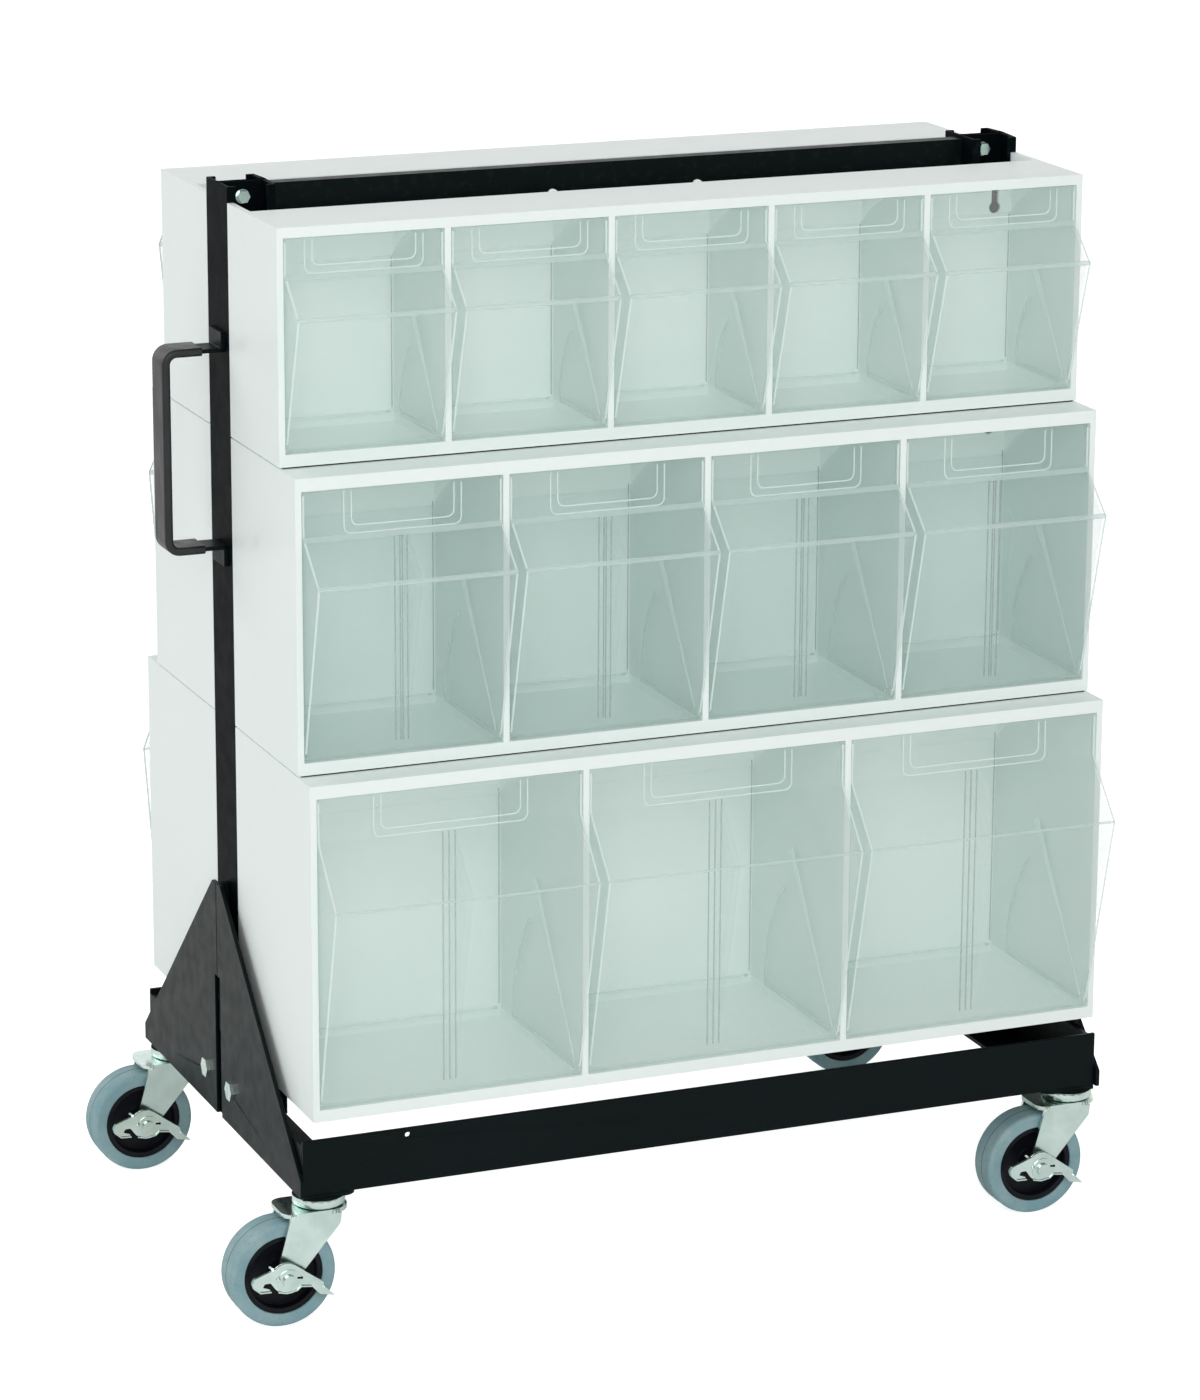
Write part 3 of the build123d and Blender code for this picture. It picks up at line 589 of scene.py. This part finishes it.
class BinTrim:
    """Moulded detail of one bin: u runs out of the cabinet, v up and w across, from the pivot."""

    def __init__(self, name):
        joint = joints[name.replace("bin_", "tilt_", 1)]
        low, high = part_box(name)
        self.form = BIN_FORMS[name.split("_")[1]]
        self.pivot = Vector(joint["pos_m"])
        self.facing = -joint["axis"][0]
        self.half = (high.x - low.x) / 2 - PEG_OUT
        self.depth = high.y - self.pivot.y if self.facing < 0 else self.pivot.y - low.y
        self.back = WALL - self.depth
        self.height = high.z - self.pivot.z
        self.mesh = bmesh.new()

    def place(self, u, v, w):
        return self.pivot + Vector((-self.facing * w, self.facing * u, v))

    def place_on_front(self, w, v, u):
        return self.place(u, v, w)

    def place_on_floor(self, u, w, v):
        return self.place(u, v, w)

    def across(self, inset):
        """Span between the bin's outer sides, less an inset at each end."""
        return inset - self.half, self.half - inset

    def prism(self, outline, span, material, place=None):
        low, high = sorted(span)
        add_prism(self.mesh, outline, low, high, place or self.place, material)

    def strip(self, points, width, span, material):
        self.prism(ribbon(points, width), span, material)

    def add_label_holder(self):
        """Pocket on the upright front: two ridges with round lower corners, open at the top."""
        top = self.height - LABEL_HIGH
        for inset in (0.0, LABEL_BORDER):
            half = self.form.label_width / 2 - inset
            low = self.form.shelf + LABEL_LOW + inset + LABEL_ROUND
            left, right = (-half + LABEL_ROUND, low), (half - LABEL_ROUND, low)
            path = [(-half, top)]
            path += arc_points(left, LABEL_ROUND, 180, 270, LABEL_STEPS)
            path += arc_points(right, LABEL_ROUND, 270, 360, LABEL_STEPS)
            path.append((half, top))
            span = (FRONT_U, FRONT_U + LABEL_PROUD)
            # the ridges' pale colour is a painted highlight
            self.prism(ribbon(path, LABEL_RIDGE), span, AS_RIB_HIGHLIGHT, self.place_on_front)

    def add_front(self):
        """Band on the slope below the shelf, and bead along the nose."""
        nose_u, nose_v = self.form.nose
        if self.form.banded:
            shelf = Vector((FRONT_U, self.form.shelf))
            slant = (Vector((nose_u, nose_v)) - shelf).normalized()
            start = shelf + Vector((-slant.y, slant.x)) * BAND_PROUD
            band = [tuple(start), tuple(start + slant * BAND)]
            self.strip(band, BAND_THICK, self.across(BAND_ENDS), AS_EDGE_HIGHLIGHT)
        centre = (nose_u - self.form.bead, nose_v)
        bead = arc_points(centre, self.form.bead * BEAD_SPREAD, -90, 90, BEAD_STEPS)
        self.prism(bead, self.across(BEAD_ENDS), AS_EDGE_HIGHLIGHT)

    def add_back_line(self):
        """Pale line on the floor, along the back wall: a painted highlight."""
        line = [(self.back, FLOOR_V), (self.back + RIM, FLOOR_V)]
        self.strip(line, 2 * EDGE_PROUD, self.across(WALL), AS_RIB_HIGHLIGHT)

    def add_fins(self):
        """Clear divider fins in the middle of the front."""
        nose_u, nose_v = self.form.nose
        low, high = 2 * WALL, self.form.shelf - WALL
        fin = [(0, low), (nose_u - 2 * WALL, nose_v), (FRONT_U - WALL, high), (0, high)]
        for w in self.form.fins:
            self.prism(fin, (w - FIN / 2, w + FIN / 2), AS_WEB)
            # dark line of painted shade along the fin's inner end
            self.strip([(0, low), (0, high)], FIN_EDGE, (w - FIN, w + FIN), AS_SHADE_LINE)

    def add_side(self, side):
        """Rib, front edge, rims, corner line and nub of one side wall. Their pale colour is a painted highlight,
        and the dark corner line is painted shade.
        """
        face = side * (self.half - WALL)
        raised = (face, face - side * RIM_PROUD)
        heel = Vector(RIB_HEEL)
        apex = Vector(RIB_APEX) * self.height
        along = (apex - heel).normalized()
        aside = Vector((-along.y, along.x)) * RIB / 2
        self.prism([tuple(heel), tuple(apex - aside), tuple(apex + aside)], raised, AS_RIB_HIGHLIGHT)

        edge = [
            (FRONT_U, self.height - EDGE_ENDS), (FRONT_U, self.form.shelf),
            self.form.nose, (FRONT_U, EDGE_ENDS),
        ]
        outer = (side * self.half, side * (self.half - RIM_EDGE))
        self.strip(edge, 2 * EDGE_PROUD, outer, AS_RIB_HIGHLIGHT)

        foot = RIM_REACH * self.depth
        sweep = arc_points((0, 0), foot, 180, 180 - RIM_SWEEP, RIM_STEPS)
        self.strip(sweep, RIM, raised, AS_EDGE_HIGHLIGHT)
        level = FLOOR_V + RIM / 2
        self.strip([(-foot, level), (RIM_START, level)], RIM, raised, AS_EDGE_HIGHLIGHT)
        corner = [(self.back, 0), (self.back, CORNER_REACH * self.height)]
        self.strip(corner, CORNER_SHADE_LINE, raised, AS_SHADE_LINE)

        nub = (self.back + NUB_IN, side * (self.half - WALL - NUB_IN))
        span = (FLOOR_V, FLOOR_V + NUB_HIGH)
        self.prism(ring_points(nub, NUB, NUB_SIDES), span, AS_EDGE_HIGHLIGHT, self.place_on_floor)


def make_bin_trim(name):
    """Moulded detail of one bin, which rides on it."""
    trim = BinTrim(name)
    trim.add_label_holder()
    trim.add_front()
    trim.add_back_line()
    trim.add_fins()
    for side in (-1, 1):
        trim.add_side(side)
    finish_mesh("trim_" + name, trim.mesh, TRIM_MATERIALS, name)


# ---------------------------------------------------------------- tyres
FLASH = 0.16 * MM
FLASH_SPREAD = 2               # times as wide as it stands proud
FLASH_SIDES = 8
FLASH_STEPS = 96


def make_tyre_line(name):
    """Thin moulding flash round the middle of a tread."""
    low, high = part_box(name)
    centre = (low + high) / 2
    radius = (high.x - low.x) / 2
    section = ring_points((0, 0), FLASH, FLASH_SIDES)
    mesh = bmesh.new()
    rows = []
    for i in range(FLASH_STEPS):
        angle = 2 * math.pi * i / FLASH_STEPS
        out = Vector((math.cos(angle), 0, math.sin(angle)))
        row = []
        for a, b in section:
            point = centre + out * (radius + a) + Vector((0, FLASH_SPREAD * b, 0))
            row.append(mesh.verts.new(point))
        rows.append(row)
    for i, row in enumerate(rows):
        ahead = rows[(i + 1) % FLASH_STEPS]
        for k in range(FLASH_SIDES):
            after = (k + 1) % FLASH_SIDES
            mesh.faces.new((row[k], row[after], ahead[after], ahead[k]))
    wheel = name.replace("tyre_", "wheel_", 1)
    finish_mesh("flash_" + name, mesh, (TYRE_DARK,), wheel)


# ---------------------------------------------------------------- joints between the tiers
TIER_SEAM = 0.7 * MM           # height of the dark line, which is painted shade
TIER_SEAM_LIFT = 0.65          # from the tier below to its middle, in shares of its height
TIER_SEAM_DEEP = 1.0 * MM
TIER_SEAM_BACK = 0.5 * MM      # behind the upper cabinet's face
TIER_SEAM_ENDS = 2.5 * MM      # in from the upper cabinet's ends


def make_tier_shade_seams():
    """Dark line of painted shade under the outer edge of each upper cabinet, where it stands on the tier below."""
    for face, inward in (("front", 1), ("rear", -1)):
        for lower, upper in (("bottom", "middle"), ("middle", "top")):
            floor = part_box(f"cabinet_{lower}_{face}")[1].z
            low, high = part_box(f"cabinet_{upper}_{face}")
            edge = low.y if face == "front" else high.y
            centre = Vector((
                (low.x + high.x) / 2,
                edge + inward * (TIER_SEAM_BACK + TIER_SEAM_DEEP / 2),
                floor + TIER_SEAM_LIFT * TIER_SEAM,
            ))
            size = (high.x - low.x - 2 * TIER_SEAM_ENDS, TIER_SEAM_DEEP, TIER_SEAM)
            make_seam(f"seam_{upper}_{face}", centre, size)


# ---------------------------------------------------------------- gussets
GUSSET_SEAM = 1.0 * MM         # width of the dark line
GUSSET_SEAM_THICK = 0.3 * MM
GUSSET_SEAM_SUNK = 0.075 * MM  # from the plates' outer face to its middle
GUSSET_SLOT = 105.2 * MM       # top of the slot, above the gusset's foot


def make_gusset_seams():
    """Dark joint between the two plates of each gusset, from the slot up to the apex."""
    for side in ("left", "right"):
        low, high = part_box("gusset_" + side)
        face, inward = (low.x, 1) if side == "left" else (high.x, -1)
        middle = (high.z + low.z + GUSSET_SLOT) / 2
        centre = Vector((face + inward * GUSSET_SEAM_SUNK, 0, middle))
        size = (GUSSET_SEAM_THICK, GUSSET_SEAM, high.z - low.z - GUSSET_SLOT)
        make_seam("seam_gusset_" + side, centre, size)


# ---------------------------------------------------------------- brake levers
LEVER_EDGES = (                # folded edges about the axle, in mm to the cart's right and up
    ((-13.4, -5.6), (-21.2, -5.3), (-25.9, -1.3), (-26.9, 2.2), (-25.3, 5.0), (-10.6, 10.2),
     (-7.4, 12.4)),
    ((-7.4, 12.4), (-4.0, 13.4), (0.0, 13.2), (3.2, 11.6), (24.3, -3.8)),
    ((25.0, -7.5), (32.0, -14.2)),
    ((-8.4, -6.6), (-2.0, -8.1), (5.4, -6.9), (8.4, -4.4), (16.0, -5.4)),
)
LEVER_FOLD = 0.9 * MM
LEVER_PROUD = 1.1 * MM
LEVER_ROOT = -0.5 * MM         # relief starts this far below the lever's face
LEVER_PAD = 8.6 * MM
LEVER_PAD_PROUD = 0.5 * MM
LEVER_PAD_SIDES = 36
LEVER_DIMPLE = (-8.0 * MM, 2.5 * MM)
LEVER_DIMPLE_RADII = (1.9 * MM, 0.6 * 1.9 * MM, 1.9 * MM)
LEVER_DIMPLE_STEPS = (20, 12)  # round it, and from pole to pole
LEVER_TAB = ((-10.6, 8.2), (-15.0, 12.4), (-13.9, 13.2), (-9.2, 9.2))
LEVER_TAB_SPAN = (-1.6 * MM, -0.6 * MM)
LEVER_SLOT = ((5.6, 2.2), (9.6, 1.6))
LEVER_SLOT_WIDE = 1.4 * MM
LEVER_SLOT_SPAN = (-0.3 * MM, LEVER_PAD_PROUD + 0.1 * MM)
LEVER_MATERIALS = (ZINC, BLACK)
AS_ZINC, AS_BLACK = range(len(LEVER_MATERIALS))


def make_lever_relief(name):
    """Folded edges, a round pad, a dimple, a tab and a slot on a stamped brake lever."""
    corner = name.removeprefix("brake_lever_")
    axle = Vector(joints["roll_" + corner]["pos_m"])
    face_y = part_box(name)[0].y
    mesh = bmesh.new()

    def place(a, b, c):
        return Vector((axle.x + a, face_y - c, axle.z + b))

    def relief(outline, low, high, material=AS_ZINC):
        add_prism(mesh, outline, low, high, place, material)

    for edge in LEVER_EDGES:
        relief(ribbon(in_mm(edge), LEVER_FOLD), LEVER_ROOT, LEVER_PROUD)
    relief(ring_points((0, 0), LEVER_PAD, LEVER_PAD_SIDES), LEVER_ROOT, LEVER_PAD_PROUD)
    add_ball(mesh, place(*LEVER_DIMPLE, 0.0), LEVER_DIMPLE_RADII, *LEVER_DIMPLE_STEPS)
    relief(in_mm(LEVER_TAB), *LEVER_TAB_SPAN)
    relief(ribbon(in_mm(LEVER_SLOT), LEVER_SLOT_WIDE), *LEVER_SLOT_SPAN, AS_BLACK)
    finish_mesh("relief_" + name, mesh, LEVER_MATERIALS, "brake_" + corner)


# ---------------------------------------------------------------- stage and light
PURE_WHITE = (1.0, 1.0, 1.0, 1.0)
FLOOR_HALF = 12.0
FLOOR_LIFT = 0.75              # glow of the floor, for the camera and through clear walls
FLOOR_GLOSS = 0.2              # share of the lift that gloss sees
WORLD_LIGHT = 0.46
WORLD_SEEN = 1.0               # for the camera and through clear walls
GLOSS_RANGE = (-0.5, 0.5, 0.2, 1.0)     # surround in gloss: from front to rear, dim to bright
LAMPS = (
    ("key", (-3.6, 0.3, 1.9), 2.6, 15.0),
    ("top", (0.0, 0.6, 3.8), 2.6, 4.0),
    ("fill", (-0.9, -3.2, 1.9), 2.0, 47.0),
    ("rear", (-2.3, 2.3, 2.4), 2.0, 20.0),
)
LAMP_TARGET = Vector((0.0, 0.0, 0.4))
BOUNCES = 16
DIFFUSE_BOUNCES = 10
TRANSPARENT_BOUNCES = 48       # a look through the cart crosses many clear walls


def make_stage():
    """White floor that glows for the camera, so that only the cart's soft shadow is off white."""
    shader = Shader("floor_white")
    ray = shader.node("ShaderNodeLightPath").outputs
    gloss = shader.maths("MULTIPLY", ray["Is Glossy Ray"], FLOOR_GLOSS)
    seen = shader.maths("ADD", ray["Is Camera Ray"], gloss)
    seen = shader.maths("ADD", seen, ray["Is Transmission Ray"])
    cloud = shader.patches(scale=3.0, low=0.3, high=0.7)
    shader.set(
        Base_Color=shader.mix(cloud, rgb(250, 250, 250), rgb(247, 248, 248)), Roughness=0.8,
        Emission_Color=PURE_WHITE, Emission_Strength=shader.maths("MULTIPLY", seen, FLOOR_LIFT))
    mesh = bmesh.new()
    bmesh.ops.create_grid(mesh, x_segments=2, y_segments=2, size=FLOOR_HALF)
    data = bpy.data.meshes.new("floor")
    mesh.to_mesh(data)
    mesh.free()
    data.materials.append(shader.material)
    floor = bpy.data.objects.new("floor", data)
    bpy.context.scene.collection.objects.link(floor)


def make_world():
    """White surround: plain to the camera, and dimmer in gloss on the front's side."""
    world = bpy.data.worlds.new("studio")
    bpy.context.scene.world = world
    world.use_nodes = True
    graph = NodeGraph(world.node_tree)
    ray = graph.node("ShaderNodeLightPath").outputs
    gloss = graph.remap(graph.along("Generated", "Y"), *GLOSS_RANGE)
    strength = graph.blend(ray["Is Glossy Ray"], WORLD_LIGHT, gloss)
    seen = graph.maths("MAXIMUM", ray["Is Camera Ray"], ray["Is Transmission Ray"])
    strength = graph.blend(seen, strength, WORLD_SEEN)
    background = graph.tree.nodes["Background"].inputs
    graph.feed(background["Color"], PURE_WHITE)
    graph.feed(background["Strength"], strength)


def make_lamps():
    """Broad lamps at the left, above, in front and behind."""
    for name, place, size, power in LAMPS:
        lamp = bpy.data.lights.new(name, "AREA")
        lamp.shape = "SQUARE"
        lamp.size = size
        lamp.energy = power
        body = bpy.data.objects.new(name, lamp)
        body.location = place
        aim = LAMP_TARGET - Vector(place)
        body.rotation_euler = aim.to_track_quat("-Z", "Y").to_euler()
        bpy.context.scene.collection.objects.link(body)


def make_each(start, make):
    """Makes the detail of every node whose name starts so."""
    for name in nodes:
        if name.startswith(start):
            make(name)


make_camera()
dress_cad_nodes()
make_each("bin_", make_bin_trim)
make_each("tyre_", make_tyre_line)
make_tier_shade_seams()
make_gusset_seams()
make_each("brake_lever_", make_lever_relief)
make_stage()
make_world()
make_lamps()

bpy.context.scene.view_settings.view_transform = "Standard"
bpy.context.scene.cycles.transparent_max_bounces = TRANSPARENT_BOUNCES
bpy.context.scene.cycles.max_bounces = BOUNCES
bpy.context.scene.cycles.diffuse_bounces = DIFFUSE_BOUNCES
